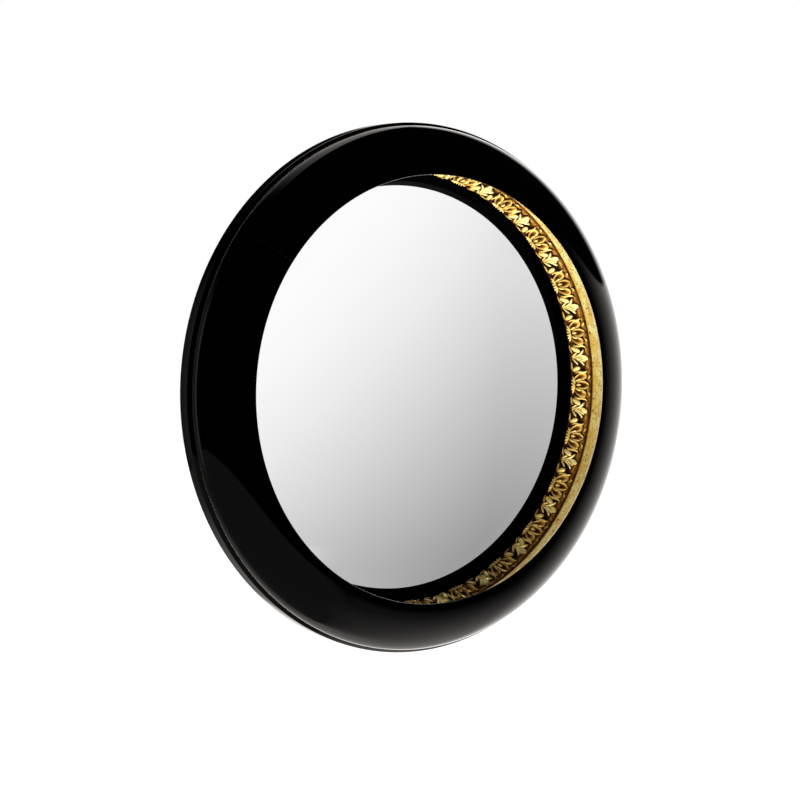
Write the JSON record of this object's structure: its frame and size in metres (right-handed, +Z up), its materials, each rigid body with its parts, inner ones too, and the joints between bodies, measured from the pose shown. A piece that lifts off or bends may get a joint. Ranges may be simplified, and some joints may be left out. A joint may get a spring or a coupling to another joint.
{
  "type": "round wall mirror",
  "caption": "Round convex wall mirror in a deep black lacquered bullnose frame with a gilded, carved inner wall, a stepped liner and D-ring hangers.",
  "frame": {"origin": "centre of the back plane that the four bumpers touch, on the mirror's axis", "axes": "+Y into the wall along the mirror's axis, so the glass faces -Y; +Z up; +X to the right of a person who looks into the mirror"},
  "size_m": [0.9994, 0.16, 0.9994],
  "materials": {
    "black_lacquer": "piano black lacquer, polished to a high gloss",
    "gold_leaf": "pale gold leaf on a smooth cove, finely crazed, with small dark flecks",
    "carved_gold": "gold leaf on carving, with a dark brown patina left in the hollows",
    "mirror_glass": "silvered convex glass",
    "raw_wood": "bare sanded wood",
    "stained_wood": "black stained wood, matt",
    "backing_board": "plain fibreboard",
    "felt": "grey felt strip",
    "rubber": "black rubber",
    "zinc_steel": "zinc plated steel"
  },
  "bodies": {
    "mirror": {"front_ring_upper": "black_lacquer", "front_ring_lower": "black_lacquer", "front_ring_tongue_1": "raw_wood", "front_ring_tongue_2": "raw_wood", "rim_ring_upper": "black_lacquer", "rim_ring_lower": "black_lacquer", "rim_ring_tongue_1": "raw_wood", "rim_ring_tongue_2": "raw_wood", "rim_screw_1": "zinc_steel", "rim_screw_2": "zinc_steel", "rim_screw_3": "zinc_steel", "rim_screw_4": "zinc_steel", "rim_screw_5": "zinc_steel", "rim_screw_6": "zinc_steel", "rim_screw_7": "zinc_steel", "rim_screw_8": "zinc_steel", "gilt_band_upper": "gold_leaf", "gilt_band_lower": "gold_leaf", "carved_frieze_upper": "carved_gold", "carved_frieze_lower": "carved_gold", "liner_upper": "black_lacquer", "liner_lower": "black_lacquer", "mirror_glass": "mirror_glass", "glass_felt": "felt", "glass_spacer": "raw_wood", "carcass_ring": "stained_wood", "backing_board": "backing_board", "board_screw_1": "zinc_steel", "board_screw_2": "zinc_steel", "board_screw_3": "zinc_steel", "board_screw_4": "zinc_steel", "board_screw_5": "zinc_steel", "board_screw_6": "zinc_steel", "board_screw_7": "zinc_steel", "board_screw_8": "zinc_steel", "bumper_1": "rubber", "bumper_2": "rubber", "bumper_3": "rubber", "bumper_4": "rubber", "strap_left": "zinc_steel", "strap_right": "zinc_steel", "strap_screw_left_1": "zinc_steel", "strap_screw_left_2": "zinc_steel", "strap_screw_right_1": "zinc_steel", "strap_screw_right_2": "zinc_steel"},
    "hanging_ring_left": {"d_ring_left": "zinc_steel"},
    "hanging_ring_right": {"d_ring_right": "zinc_steel"}
  },
  "joints": [
    {"name": "ring_swing_left", "type": "hinge", "parent": "mirror", "child": "hanging_ring_left", "pos_m": [-0.3264, -0.0039, 0.28931], "axis": [1, 0, 0], "range_deg": [0, 180]},
    {"name": "ring_swing_right", "type": "hinge", "parent": "mirror", "child": "hanging_ring_right", "pos_m": [0.3264, -0.0039, 0.28931], "axis": [1, 0, 0], "range_deg": [0, 180]}
  ]
}
